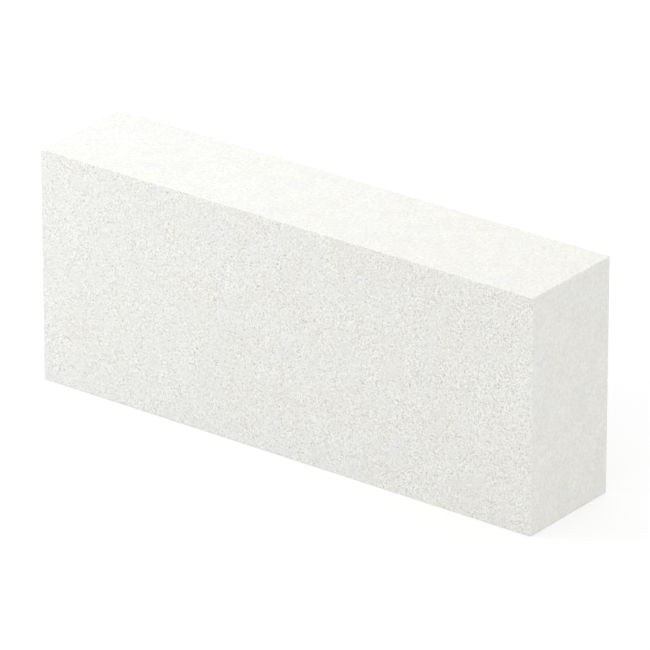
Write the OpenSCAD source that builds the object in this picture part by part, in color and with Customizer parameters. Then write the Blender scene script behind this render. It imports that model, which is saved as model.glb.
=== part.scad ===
// Aerated concrete block: one plain wire-cut unit, standing on its lower bed face.
// Origin at the centre of the lower bed face, X along the length, Y through the thickness, Z up.

/* [Block] */
// Length of the block along the wall
block_l = 600; // [200:1:1000]
// Thickness of the block through the wall
block_t = 125; // [50:1:500]
// Height of the block, which is one course
block_h = 250; // [100:1:500]

/* [Arrises] */
// Radius that handling wears onto the arrises round the two ends
end_arris_r = 1.5; // [0.5:0.1:6]
// Radius that handling wears onto the four long arrises
long_arris_r = 1; // [0.5:0.1:6]

/* [Hidden] */
$fn = 48;
concrete_white = [0.906, 0.905, 0.886];

// Rectangle centred on the origin with its four corners rounded
module worn_rectangle(width, depth, corner_r) {
    square([width - 2 * corner_r, depth], center = true);
    square([width, depth - 2 * corner_r], center = true);
    for (x_side = [-1, 1], y_side = [-1, 1])
        translate([x_side * (width / 2 - corner_r), y_side * (depth / 2 - corner_r)])
            circle(r = corner_r);
}

// Bar that the wires cut along Z: its section is length by thickness
module bar_along_height() {
    linear_extrude(height = block_h, center = true)
        worn_rectangle(block_l, block_t, end_arris_r);
}

// Bar that the wires cut along Y: its section is length by height
module bar_along_thickness() {
    rotate([90, 0, 0])
        linear_extrude(height = block_t, center = true)
            worn_rectangle(block_l, block_h, end_arris_r);
}

// Bar that the wires cut along X: its section is thickness by height
module bar_along_length() {
    rotate([90, 0, 90])
        linear_extrude(height = block_l, center = true)
            worn_rectangle(block_t, block_h, long_arris_r);
}

// The block is what the three cuts leave in common
module block() {
    color(concrete_white)
        translate([0, 0, block_h / 2])
            intersection() {
                bar_along_height();
                bar_along_thickness();
                bar_along_length();
            }
}

block();
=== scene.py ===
import math

import bmesh
import bpy
import numpy as np
from mathutils import Euler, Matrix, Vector, noise
from mathutils.geometry import delaunay_2d_cdt


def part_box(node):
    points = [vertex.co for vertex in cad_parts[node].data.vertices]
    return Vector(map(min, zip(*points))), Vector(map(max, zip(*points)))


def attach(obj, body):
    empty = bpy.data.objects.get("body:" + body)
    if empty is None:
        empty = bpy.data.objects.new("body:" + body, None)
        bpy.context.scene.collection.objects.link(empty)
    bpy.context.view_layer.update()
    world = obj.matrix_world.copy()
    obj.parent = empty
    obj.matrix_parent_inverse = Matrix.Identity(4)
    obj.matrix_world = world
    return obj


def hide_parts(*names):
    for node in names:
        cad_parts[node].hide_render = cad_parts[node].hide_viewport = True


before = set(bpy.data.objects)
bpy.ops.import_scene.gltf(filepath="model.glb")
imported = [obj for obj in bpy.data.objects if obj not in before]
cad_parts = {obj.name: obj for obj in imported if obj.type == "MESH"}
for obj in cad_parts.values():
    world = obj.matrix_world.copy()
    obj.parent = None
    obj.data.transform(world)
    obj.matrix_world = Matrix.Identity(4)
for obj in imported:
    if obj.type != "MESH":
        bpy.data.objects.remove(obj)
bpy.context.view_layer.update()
mm = 0.001
low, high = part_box("block")
blockSize = high - low
blockCentre = (low + high) / 2
unitAxes = (Vector((1, 0, 0)), Vector((0, 1, 0)), Vector((0, 0, 1)))
blockSides = [round(side / mm, 1) for side in blockSize]
print("frame:", len(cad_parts), "node, the block is", blockSides, "mm")


class Wire:  # one output of a node: arithmetic on it adds Math nodes, make adds any other node
    def __init__(self, node, name=None):
        self.node = node
        self.tree = node.id_data
        self.socket = Wire.find(node.outputs, name)

    @staticmethod
    def find(sockets, name):  # by number, by name, or the first one in use
        if isinstance(name, int):
            return sockets[name]
        fitting = (socket for socket in sockets if socket.enabled and name in (None, socket.name))
        return next(fitting, None)

    @staticmethod
    def make(tree, kind, settings=None, sockets=None):
        node = tree.nodes.new(kind)
        for name, value in (settings or {}).items():
            setattr(node, name, value)
        for name, value in (sockets or {}).items():
            socket = Wire.find(node.inputs, name)
            for item in value if isinstance(value, list) else [value]:
                if isinstance(item, Wire):
                    tree.links.new(item.socket, socket)
                else:
                    socket.default_value = item
        return Wire(node)

    def out(self, name):
        return Wire(self.node, name)

    def math(self, operation, left, right):
        return Wire.make(self.tree, "ShaderNodeMath", {"operation": operation}, {0: left, 1: right})

    def least(self, other):
        return self.math("MINIMUM", self, other)

    def most(self, other):
        return self.math("MAXIMUM", self, other)

    def __add__(self, other):
        return self.math("ADD", self, other)

    def __radd__(self, other):
        return self.math("ADD", other, self)

    def __sub__(self, other):
        return self.math("SUBTRACT", self, other)

    def __rsub__(self, other):
        return self.math("SUBTRACT", other, self)

    def __mul__(self, other):
        return self.math("MULTIPLY", self, other)

    def __rmul__(self, other):
        return self.math("MULTIPLY", other, self)

    def __truediv__(self, other):
        return self.math("DIVIDE", self, other)

    def __rtruediv__(self, other):
        return self.math("DIVIDE", other, self)

    def __pow__(self, other):
        return self.math("POWER", self, other)


def emptyTree(owner):  # of a material or a world
    owner.use_nodes = True
    owner.node_tree.nodes.clear()
    return owner.node_tree


def addObject(name, data):
    item = bpy.data.objects.new(name, data)
    bpy.context.scene.collection.objects.link(item)
    return item


def meshFrom(shell, name):
    mesh = bpy.data.meshes.new(name)
    shell.to_mesh(mesh)
    shell.free()
    return mesh


def takeMesh(item):  # what the modifiers leave, as a plain mesh, with the object itself removed
    bpy.context.view_layer.update()
    evaluated = item.evaluated_get(bpy.context.evaluated_depsgraph_get())
    mesh = bpy.data.meshes.new_from_object(evaluated)
    bpy.data.objects.remove(item)
    return mesh


# concrete finish, with painted shade in its pores
concrete = {
    "ridgeColour": (0.94, 0.944, 0.937),  # the palest walls between pores
    "warmColour": (0.944, 0.938, 0.892),  # the same walls in the warm clouds
    "poreShadeColour": (0.60, 0.59, 0.55),  # painted shade for the inside of a pore
    "plainShade": 0.285,  # how far a plain face's own colour lies from the palest wall towards the painted pore shade
    "cavityShade": 0.2,  # painted shade, added at the bottom of a modelled pore
    "patternTurn": (0.5, 0.3, 0.7),  # radians, so that no face lies along the pattern's own grid
    "detail": 2.0,  # finer layers in the clouds and the grain
    "warmSize": 40 * mm,  # warm clouds, which thicken towards one end
    "warmDrift": 0.26,
    "warmRange": (-0.1, 0.2),  # where a warm cloud starts and where it is full
    "cloudSize": 20 * mm,  # patches where the fine pores show more
    "cloudContrast": 2.4,
    "cloudShade": (0.34, 0.14),  # on a closed face, and on an open one
    "grainDrift": 0.3,  # the fine pores show more towards the warm end
    # pores too fine to model, painted as shade and relief: the least radius and its spread count in
    # sizes, the flat middle in radii
    "bubbles": {"size": 2.2 * mm, "least": 0.12, "spread": 0.42, "middle": 0.3, "weight": 0.75},
    "pinholes": {"size": 1.25 * mm, "least": 0.1, "spread": 0.4, "middle": 0.3, "weight": 0.45},
    "finePoreShade": 0.5,
    "speckSize": 1.9 * mm,  # pale and dark specks of an open face: painted light and shade of pits too fine to model
    "speckShade": 1.03,
    "speckRise": 0.5,  # how far the specks stand out, against the depth of the fine pores
    "grainSize": 0.5 * mm,
    "grainShade": 0.24,
    "grainRise": 0.3,
    "mottleSize": 3.4 * mm,  # soft mottle of every face
    "mottleShade": (0.45, 0.1),  # on a closed face, and on an open one
    "mottleRise": 0.2,
    "bumpDepth": 0.3 * mm,
    "bumpStrength": 0.6,
    "roughness": 0.93,
    "roughSpread": 0.08,
    "specular": 0.25,
}


def makeConcrete():
    material = bpy.data.materials.new("aeratedConcrete")
    tree = emptyTree(material)

    def make(kind, settings=None, sockets=None):
        return Wire.make(tree, "ShaderNode" + kind, settings, sockets)

    def ramp(value, start, end):
        return make("MapRange", {"interpolation_type": "SMOOTHSTEP"}, {0: value, 1: start, 2: end})

    def mixColour(factor, first, second):
        return make("Mix", {"data_type": "RGBA"}, {0: factor, 6: first, 7: second}).out("Result")

    def cloud(size, detail=0.0):  # soft noise about zero
        return make("TexNoise", None, {"Vector": place, "Scale": 1 / size, "Detail": detail}) - 0.5

    def cutBubbles(values):  # round bubbles as the faces cut them, painted as shade and sunken relief, strongest in their middles
        cells = make("TexVoronoi", None, {"Vector": place, "Scale": 1 / values["size"]})
        chance = make("SeparateColor", None, {"Color": cells.out("Color")}).out("Red")
        radius = values["least"] + values["spread"] * chance
        return values["weight"] * (1 - ramp(cells.out("Distance") / radius, values["middle"], 1.0))

    def byFace(closed, opened):  # a strength that follows how open the face is
        return closed + (opened - closed) * openness

    here = make("TexCoord").out("Object")
    place = make("Mapping", None, {"Vector": here, "Rotation": concrete["patternTurn"]})
    drift = make("SeparateXYZ", None, {"Vector": here}).out("X") / blockSize.x
    cavity = make("Attribute", {"attribute_name": "cavity"}).out("Fac")
    openness = make("Attribute", {"attribute_name": "openness"}).out("Fac")
    finePores = cutBubbles(concrete["bubbles"]) + cutBubbles(concrete["pinholes"])
    specks = cloud(concrete["speckSize"])
    mottle = cloud(concrete["mottleSize"])
    grain = cloud(concrete["grainSize"], concrete["detail"])
    clouds = cloud(concrete["cloudSize"], concrete["detail"])
    warmth = cloud(concrete["warmSize"], concrete["detail"]) + concrete["warmDrift"] * drift

    warmShare = ramp(warmth, *concrete["warmRange"])
    ridges = mixColour(warmShare, (*concrete["ridgeColour"], 1), (*concrete["warmColour"], 1))
    strength = openness * (1 + concrete["cloudContrast"] * clouds + concrete["grainDrift"] * drift)
    # the specks' painted light and shade, with the grain's random tone
    paleSpots = specks * concrete["speckShade"] + grain * concrete["grainShade"]
    spots = finePores * concrete["finePoreShade"] - paleSpots
    patches = mottle * byFace(*concrete["mottleShade"]) + clouds * byFace(*concrete["cloudShade"])
    # how far towards the painted pore shade: painted shade of the pores, their bottoms and the specks,
    # with the plain colour and random mottle and clouds
    paintedShadeAndTone = concrete["plainShade"] + cavity * concrete["cavityShade"] + strength * spots - patches
    # the walls' own colour with painted pore shade
    colourWithPaintedShade = mixColour(paintedShadeAndTone, ridges, (*concrete["poreShadeColour"], 1))

    openRelief = grain * concrete["grainRise"] + specks * concrete["speckRise"] - finePores
    bump = make("Bump", None, {
        "Strength": concrete["bumpStrength"],
        "Distance": concrete["bumpDepth"],
        "Height": openness * openRelief + mottle * concrete["mottleRise"],
    })
    surface = make("BsdfPrincipled", None, {
        "Base Color": colourWithPaintedShade,
        "Roughness": concrete["roughness"] + concrete["roughSpread"] * grain,
        "Normal": bump,
        "Specular IOR Level": concrete["specular"],
    })
    make("OutputMaterial", None, {"Surface": surface})
    return material


# the six faces, each turned from lying flat and facing up
faceTurns = {
    "front": (90, 0, 0),
    "back": (90, 0, 180),
    "rightEnd": (90, 0, 90),
    "leftEnd": (90, 0, -90),
    "top": (0, 0, 0),
    "bottom": (180, 0, 0),
}


def faceAxes(name):  # along, up and out of one face
    turn = Euler([math.radians(angle) for angle in faceTurns[name]]).to_matrix()
    return [turn @ axis for axis in unitAxes]


def sizeAlong(axis):
    return abs(axis.dot(blockSize))


# arrises and corners: the rounded frame that the six faces fill
arrises = {
    "endRadius": 0.8 * mm,  # round the two ends
    "longRadius": 0.6 * mm,  # along the length
    "segments": 3,
    "step": 4 * mm,  # between points along an arris
    "wearDepth": 0.25 * mm,
    "wearLength": 11 * mm,
}


def edgeRun(edge):
    return edge.verts[1].co - edge.verts[0].co


def arrisRadius(edge):
    lengthwise = abs(edgeRun(edge).normalized().x) > 0.5
    return arrises["longRadius"] if lengthwise else arrises["endRadius"]


def makeRoundedBox():
    shell = bmesh.new()
    bmesh.ops.create_cube(shell, size=1)
    for vertex in shell.verts:
        vertex.co = vertex.co * blockSize + blockCentre
    weights = shell.edges.layers.float.new("bevel_weight_edge")
    for edge in shell.edges:
        edge[weights] = arrisRadius(edge) / arrises["endRadius"]
    box = addObject("roundedBox", meshFrom(shell, "roundedBox"))
    bevel = box.modifiers.new("arrises", "BEVEL")
    bevel.limit_method = "WEIGHT"
    bevel.width = arrises["endRadius"]
    bevel.segments = arrises["segments"]
    return takeMesh(box)


def makeArrisFrame():
    shell = bmesh.new()
    shell.from_mesh(makeRoundedBox())
    flats = sorted(shell.faces, key=lambda face: face.calc_area())[-len(faceTurns):]
    bmesh.ops.delete(shell, geom=flats, context="FACES_ONLY")
    for axis in unitAxes:
        runs = [edge for edge in shell.edges if abs(edgeRun(edge).dot(axis)) > sizeAlong(axis) / 2]
        bmesh.ops.subdivide_edges(shell, edges=runs, cuts=round(sizeAlong(axis) / arrises["step"]) - 1)
    shell.normal_update()
    for vertex in shell.verts:
        if not vertex.is_boundary:  # the faces keep their straight borders
            bite = max(0.0, noise.noise(vertex.co / arrises["wearLength"]))
            vertex.co -= vertex.normal * bite * arrises["wearDepth"]
    sides = shell.faces.layers.int.new("side")
    outward = [faceAxes(name)[2] for name in faceTurns]
    for face in shell.faces:
        face.smooth = True
        face[sides] = max(range(len(outward)), key=lambda number: face.normal.dot(outward[number]))
    return shell


# pores: open bubbles that the cutting wires left on each face
pores = {
    "inputs": {
        "Spacing": 2.9 * mm,  # least distance between two pores
        "Density": 70000.0,  # tries in a square metre
        "Smallest Radius": 0.7 * mm,
        "Largest Radius": 1.35 * mm,
        "Size Bias": 1.4,  # above one, most pores are small
        "Edge Clearance": 1.25 * mm,  # flat left between a pore and the edge of the block
        "Bowl From": 0.75,  # pores above this size are round bowls, the rest are plain pits
        "Ragged": 0.35 * mm,
        "Ragged Length": 2.0 * mm,
        "Seed": 11,
    },
    # share of the pores, radius, depth against radius, and strength of the finer pores' painted shade and
    # relief in the finish
    "wide": {"poreShare": 1.0, "poreScale": 1.0, "poreDepth": 0.75, "openness": 1.0},
    "bed": {"poreShare": 0.4, "poreScale": 0.85, "poreDepth": 0.5, "openness": 0.35},
    "end": {"poreShare": 0.2, "poreScale": 0.75, "poreDepth": 0.4, "openness": 0.25},
    "arrisOpenness": 0.7,
    "clearMargin": 1.75 * mm,  # no pore's middle is nearer to the edge of its face
    "stretch": (0.86, 1.14),  # from round to a little oval
    "depthSpread": (0.75, 1.2),
    "pit": {"sides": 5, "rings": 1},
    "bowl": {"sides": 6, "rings": 2},
}
faceKinds = {
    "front": "wide",
    "back": "wide",
    "rightEnd": "end",
    "leftEnd": "end",
    "top": "bed",
    "bottom": "bed",
}


def makePoreTree():
    tree = bpy.data.node_groups.new("openPores", "GeometryNodeTree")
    tree.interface.new_socket("Geometry", in_out="OUTPUT", socket_type="NodeSocketGeometry")
    tree.interface.new_socket("Geometry", in_out="INPUT", socket_type="NodeSocketGeometry")
    for name, value in pores["inputs"].items():
        kind = "NodeSocketInt" if isinstance(value, int) else "NodeSocketFloat"
        tree.interface.new_socket(name, in_out="INPUT", socket_type=kind)
    tree.interface.new_socket("Material", in_out="INPUT", socket_type="NodeSocketMaterial")
    given = Wire.make(tree, "NodeGroupInput").out

    def make(kind, settings=None, sockets=None):
        return Wire.make(tree, "GeometryNode" + kind, settings, sockets)

    def makeMath(kind, settings=None, sockets=None):
        return Wire.make(tree, "ShaderNode" + kind, settings, sockets)

    def vectorMath(operation, sockets):
        return makeMath("VectorMath", {"operation": operation}, sockets)

    def faceValue(name):  # what the face under a pore asks for
        return make("InputNamedAttribute", {"data_type": "FLOAT"}, {"Name": name})

    def draw(limits, shift):  # one random value for each pore
        sockets = {"Min": limits[0], "Max": limits[1], "Seed": given("Seed") + shift}
        return Wire.make(tree, "FunctionNodeRandomValue", {"data_type": "FLOAT"}, sockets)

    def edgeRoom():  # from a pore to the nearest edge: the middle one of the three ways to a side
        offset = vectorMath("SUBTRACT", {0: make("InputPosition"), 1: blockCentre})
        reach = vectorMath("ABSOLUTE", {0: offset})
        room = vectorMath("SUBTRACT", {0: blockSize / 2, 1: reach})
        ways = makeMath("SeparateXYZ", None, {"Vector": room}).out
        nearer = ways("X").least(ways("Y"))
        further = ways("X").most(ways("Y"))
        return nearer.most(further.least(ways("Z")))

    def makeHole(shape):  # an open bowl of radius one and depth one
        cone = make("MeshCone", {"fill_type": "NONE"}, {
            "Vertices": shape["sides"],
            "Side Segments": shape["rings"],
            "Radius Top": 0.0,
            "Radius Bottom": 1.0,
            "Depth": 1.0,
        })
        place = makeMath("SeparateXYZ", None, {"Vector": make("InputPosition")}).out
        sunk = 1 - place("X") ** 2 - place("Y") ** 2
        rounded = makeMath("CombineXYZ", None, {"X": place("X"), "Y": place("Y"), "Z": 0 - sunk})
        marked = make("StoreNamedAttribute", {"data_type": "FLOAT", "domain": "POINT"}, {
            "Geometry": cone,
            "Name": "cavity",
            "Value": sunk,
        })
        return make("SetPosition", None, {"Geometry": marked, "Position": rounded})

    def scatter(chosen, hole):
        return make("InstanceOnPoints", None, {
            "Points": middles,
            "Selection": chosen,
            "Instance": hole,
            "Rotation": turn,
            "Scale": scale,
        })

    points = make("DistributePointsOnFaces", {"distribute_method": "POISSON"}, {
        "Mesh": given("Geometry"),
        "Distance Min": given("Spacing"),
        "Density Max": given("Density"),
        "Density Factor": faceValue("poreShare"),
        "Seed": given("Seed"),
    })
    middles = make("StoreNamedAttribute", {"data_type": "FLOAT_VECTOR", "domain": "POINT"}, {
        "Geometry": points,
        "Name": "outward",
        "Value": points.out("Normal"),
    })
    size = draw((0.0, 1.0), 1) ** given("Size Bias")
    radius = given("Smallest Radius") + (given("Largest Radius") - given("Smallest Radius")) * size
    radius = radius * faceValue("poreScale")
    radius = radius.least(edgeRoom() - given("Edge Clearance"))
    stretch = draw(pores["stretch"], 2)
    depth = radius * faceValue("poreDepth") * draw(pores["depthSpread"], 3)
    scale = makeMath("CombineXYZ", None, {"X": radius * stretch, "Y": radius / stretch, "Z": depth})
    spin = makeMath("CombineXYZ", None, {"Z": draw((0.0, 2 * math.pi), 4)})
    turn = Wire.make(tree, "FunctionNodeRotateRotation", {"rotation_space": "LOCAL"}, {
        "Rotation": points.out("Rotation"),
        "Rotate By": Wire.make(tree, "FunctionNodeEulerToRotation", None, {"Euler": spin}),
    })
    bowls = scatter(size - given("Bowl From"), makeHole(pores["bowl"]))
    pits = scatter(given("Bowl From") - size, makeHole(pores["pit"]))
    both = make("JoinGeometry", None, {"Geometry": [bowls, pits]})
    holes = make("RealizeInstances", None, {"Geometry": both})

    # ragged outlines, each kept in the plane of its face
    wander = makeMath("TexNoise", None, {
        "Vector": make("InputPosition"),
        "Scale": 1 / given("Ragged Length"),
        "Detail": 1.0,
    }).out("Color")
    centred = vectorMath("SUBTRACT", {0: wander, 1: (0.5, 0.5, 0.5)})
    outward = make("InputNamedAttribute", {"data_type": "FLOAT_VECTOR"}, {"Name": "outward"})
    lifted = vectorMath("PROJECT", {0: centred, 1: outward})
    sideways = vectorMath("SUBTRACT", {0: centred, 1: lifted})
    offset = vectorMath("SCALE", {0: sideways, "Scale": 2 * given("Ragged")})
    holes = make("SetPosition", None, {"Geometry": holes, "Offset": offset})
    holes = make("SetShadeSmooth", None, {"Geometry": holes, "Shade Smooth": True})
    holes = make("SetMaterial", None, {"Geometry": holes, "Material": given("Material")})
    Wire.make(tree, "NodeGroupOutput", None, {"Geometry": holes})
    return tree


def makePores(material):
    shell = bmesh.new()
    sides = shell.faces.layers.int.new("side")
    wants = {name: shell.faces.layers.float.new(name) for name in pores["wide"]}
    for number, name in enumerate(faceTurns):
        along, up, out = faceAxes(name)
        reach = along * (sizeAlong(along) / 2 - pores["clearMargin"])
        rise = up * (sizeAlong(up) / 2 - pores["clearMargin"])
        middle = blockCentre + out * sizeAlong(out) / 2
        signs = ((-1, -1), (1, -1), (1, 1), (-1, 1))
        corners = [middle + reach * right + rise * upward for right, upward in signs]
        face = shell.faces.new([shell.verts.new(corner) for corner in corners])
        face[sides] = number
        for key, layer in wants.items():
            face[layer] = pores[faceKinds[name]][key]
    flats = addObject("poreFaces", meshFrom(shell, "poreFaces"))
    modifier = flats.modifiers.new("openPores", "NODES")
    modifier.node_group = makePoreTree()
    values = {**pores["inputs"], "Material": material}
    for item in modifier.node_group.interface.items_tree:
        if item.in_out == "INPUT" and item.name in values:
            modifier[item.identifier] = values[item.name]
    return takeMesh(flats)


def addPores(shell, holes):  # brings the pores' own meshes into the frame
    sides = shell.faces.layers.int["side"]
    cavity = shell.verts.layers.float.new("cavity")
    depths = [item.value for item in holes.attributes["cavity"].data]
    owners = [item.value for item in holes.attributes["side"].data]
    points = []
    for vertex, depth in zip(holes.vertices, depths):
        point = shell.verts.new(vertex.co)
        point[cavity] = depth
        points.append(point)
    for polygon in holes.polygons:
        face = shell.faces.new([points[index] for index in polygon.vertices])
        face.smooth = True
        face[sides] = owners[polygon.vertices[0]]


def openRings(shell):  # every open rim as a ring of points, listed by the face that it lies on
    sides = shell.faces.layers.int["side"]
    following = {}
    owner = {}
    for edge in shell.edges:
        if edge.is_boundary:
            corner = edge.link_loops[0]
            following[corner.vert] = corner.link_loop_next.vert
            owner[corner.vert] = corner.face[sides]
    rings = [[] for name in faceTurns]
    while following:
        first, point = following.popitem()
        ring = [first]
        while point is not first:
            ring.append(point)
            point = following.pop(point)
        rings[owner[first]].append(ring)
    return rings


# flat skin between the pores and the arrises
skin = {
    "insideLoops": 1,  # the fill leaves out what lies outside every loop
    "tolerance": 1e-6,  # millimetres
}


def closeFaces(shell):
    sides = shell.faces.layers.int["side"]
    for number, (name, rings) in enumerate(zip(faceTurns, openRings(shell))):
        along, up, out = faceAxes(name)
        rings.sort(key=len)
        points = [point for ring in rings for point in ring]
        flat = [Vector((point.co.dot(along), point.co.dot(up))) / mm for point in points]
        starts = np.cumsum([0] + [len(ring) for ring in rings])
        loops = [list(range(first, last)) for first, last in zip(starts, starts[1:])]
        loops[-1].reverse()  # the longest ring is the face's own border, which runs round from outside
        filled = delaunay_2d_cdt(flat, [], loops, skin["insideLoops"], skin["tolerance"])
        triangles, fromPoints, fromLoops = filled[2], filled[3], filled[5]
        for corners, inside in zip(triangles, fromLoops):
            if len(inside) == 1:  # in the border and in no pore
                face = shell.faces.new([points[fromPoints[index][0]] for index in corners])
                face.smooth = False
                face[sides] = number
        print("face", name, "has", len(loops) - 1, "pores")


# flat layout of the six faces for baking
layout = {
    "gap": 5 * mm,
    "columns": [["front", "back", "top", "bottom"], ["rightEnd", "leftEnd"]],
}


def readValues(items, name, kind, width=1):
    values = np.empty(len(items) * width, kind)
    items.foreach_get(name, values)
    return values


def unfold(mesh):
    middles = {}  # where the middle of each face lies on the sheet
    across = layout["gap"]
    tallest = 0.0
    for column in layout["columns"]:
        rise = layout["gap"]
        for name in column:
            along, up, out = faceAxes(name)
            middles[name] = Vector((across + sizeAlong(along) / 2, rise + sizeAlong(up) / 2))
            rise += sizeAlong(up) + layout["gap"]
        across += max(sizeAlong(faceAxes(name)[0]) for name in column) + layout["gap"]
        tallest = max(tallest, rise)
    sheet = max(across, tallest)

    places = readValues(mesh.vertices, "co", np.float32, 3).reshape(-1, 3)
    loopVertices = readValues(mesh.loops, "vertex_index", np.int32)
    loopTotals = readValues(mesh.polygons, "loop_total", np.int32)
    sides = readValues(mesh.attributes["side"].data, "value", np.int32)
    loopPlaces = places[loopVertices] - np.array(blockCentre)
    loopSides = np.repeat(sides, loopTotals)
    flat = np.zeros((len(mesh.loops), 2), np.float32)
    for number, name in enumerate(faceTurns):
        along, up, out = faceAxes(name)
        mine = loopSides == number
        flat[mine, 0] = loopPlaces[mine] @ np.array(along) + middles[name].x
        flat[mine, 1] = loopPlaces[mine] @ np.array(up) + middles[name].y
    mesh.uv_layers.new(name="OFBake").data.foreach_set("uv", (flat / sheet).ravel())
    mesh.attributes.remove(mesh.attributes["side"])


def makeBlock(material):
    shell = makeArrisFrame()
    frameFaces = len(shell.faces)
    addPores(shell, makePores(material))
    closeFaces(shell)
    sides = shell.faces.layers.int["side"]
    openness = shell.faces.layers.float.new("openness")
    faceOpenness = [pores[faceKinds[name]]["openness"] for name in faceTurns]
    shell.faces.index_update()
    for face in shell.faces:
        face[openness] = pores["arrisOpenness"] if face.index < frameFaces else faceOpenness[face[sides]]
    loose = sum(not edge.is_manifold for edge in shell.edges)
    mesh = meshFrom(shell, "aeratedBlock")
    mesh.materials.append(material)
    unfold(mesh)
    triangles = sum(len(polygon.vertices) - 2 for polygon in mesh.polygons)
    print("block:", len(mesh.vertices), "vertices,", triangles, "triangles,", loose, "open edges")
    return addObject("aeratedBlock", mesh)


def seenByEye(tree):  # one to the eye, also in a mirror or through glass, and zero for light on a surface
    path = Wire.make(tree, "ShaderNodeLightPath").out
    return path("Is Camera Ray").most(path("Is Glossy Ray")).most(path("Is Transmission Ray"))


# floor: plain white, with the block's shadow on it
whiteFloor = {
    "size": 60.0,
    "drop": 0.2 * mm,  # a hair below the block, so that the two faces don't flicker
    "white": (1, 1, 1, 1),
    "bounce": (0.5, 0.5, 0.5, 1),  # its colour for the light that it sends back to the block
    "glow": 0.5,  # share of its white that takes no shadow
}


def makeFloor():
    material = bpy.data.materials.new("studioFloor")
    tree = emptyTree(material)

    def make(kind, settings=None, sockets=None):
        return Wire.make(tree, "ShaderNode" + kind, settings, sockets)

    seen = seenByEye(tree)
    shades = {0: seen, 6: whiteFloor["bounce"], 7: whiteFloor["white"]}
    colour = make("Mix", {"data_type": "RGBA"}, shades).out("Result")
    matte = make("BsdfDiffuse", None, {"Color": colour})
    glow = make("Emission", None, {"Color": whiteFloor["white"], "Strength": 1.0})
    paper = make("MixShader", None, {0: seen * whiteFloor["glow"], 1: matte, 2: glow})
    make("OutputMaterial", None, {"Surface": paper})
    shell = bmesh.new()
    bmesh.ops.create_grid(shell, x_segments=1, y_segments=1, size=whiteFloor["size"] / 2)
    mesh = meshFrom(shell, "floor")
    mesh.materials.append(material)
    floor = addObject("floor", mesh)
    floor.location.z = low.z - whiteFloor["drop"]
    return floor


# light: a white sky and three soft round lamps that face the block
sky = {"light": 0.92, "colour": (1, 1, 1, 1)}
lamps = {
    "key": {"place": (-1.5, -0.9, 0.9), "size": 1.0, "power": 12.2},
    "over": {"place": (0.0, 0.6, 1.7), "size": 1.0, "power": 2.4},
    "fill": {"place": (3.0, -2.0, 0.4), "size": 1.0, "power": 26.6},
}


def makeLight():
    world = bpy.data.worlds.new("studio")
    tree = emptyTree(world)
    strength = sky["light"] + (1 - sky["light"]) * seenByEye(tree)  # plain white to the eye
    sockets = {"Color": sky["colour"], "Strength": strength}
    background = Wire.make(tree, "ShaderNodeBackground", None, sockets)
    Wire.make(tree, "ShaderNodeOutputWorld", None, {"Surface": background})
    bpy.context.scene.world = world
    for name, values in lamps.items():
        light = bpy.data.lights.new(name, "AREA")
        light.shape = "DISK"
        light.size = values["size"]
        light.energy = values["power"]
        lamp = addObject(name, light)
        lamp.location = values["place"]
        lamp.rotation_euler = (blockCentre - lamp.location).to_track_quat("-Z", "Y").to_euler()
        lamp.visible_camera = False


# camera: at the photograph's viewing angle
view = {
    "photoSide": 650,  # pixels
    "azimuth": 37.23,
    "elevation": 24.22,
    "distance": 7.604,
    "focalPixels": 7775.0,
    "centreRight": -4.3,  # where the middle of the block shows, pixels from the middle of the picture
    "centreDown": -6.2,
    "sensor": 36.0,
    "reach": 100.0,
}


def makeCamera():
    turn = Euler((math.radians(90 - view["elevation"]), 0, math.radians(view["azimuth"])))
    right, up, back = (turn.to_matrix() @ axis for axis in unitAxes)
    perPixel = view["distance"] / view["focalPixels"]
    shift = up * view["centreDown"] * perPixel - right * view["centreRight"] * perPixel
    camera = bpy.data.cameras.new("camera")
    camera.sensor_width = view["sensor"]
    camera.lens = view["focalPixels"] / view["photoSide"] * view["sensor"]
    camera.clip_end = view["reach"]
    eye = addObject("camera", camera)
    eye.rotation_euler = turn
    eye.location = blockCentre + back * view["distance"] + shift
    bpy.context.scene.camera = eye


block = makeBlock(makeConcrete())
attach(block, "root")
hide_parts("block")
makeFloor()
makeLight()
makeCamera()
bpy.context.scene.view_settings.view_transform = "Standard"
print("studio: floor, light and camera are set")
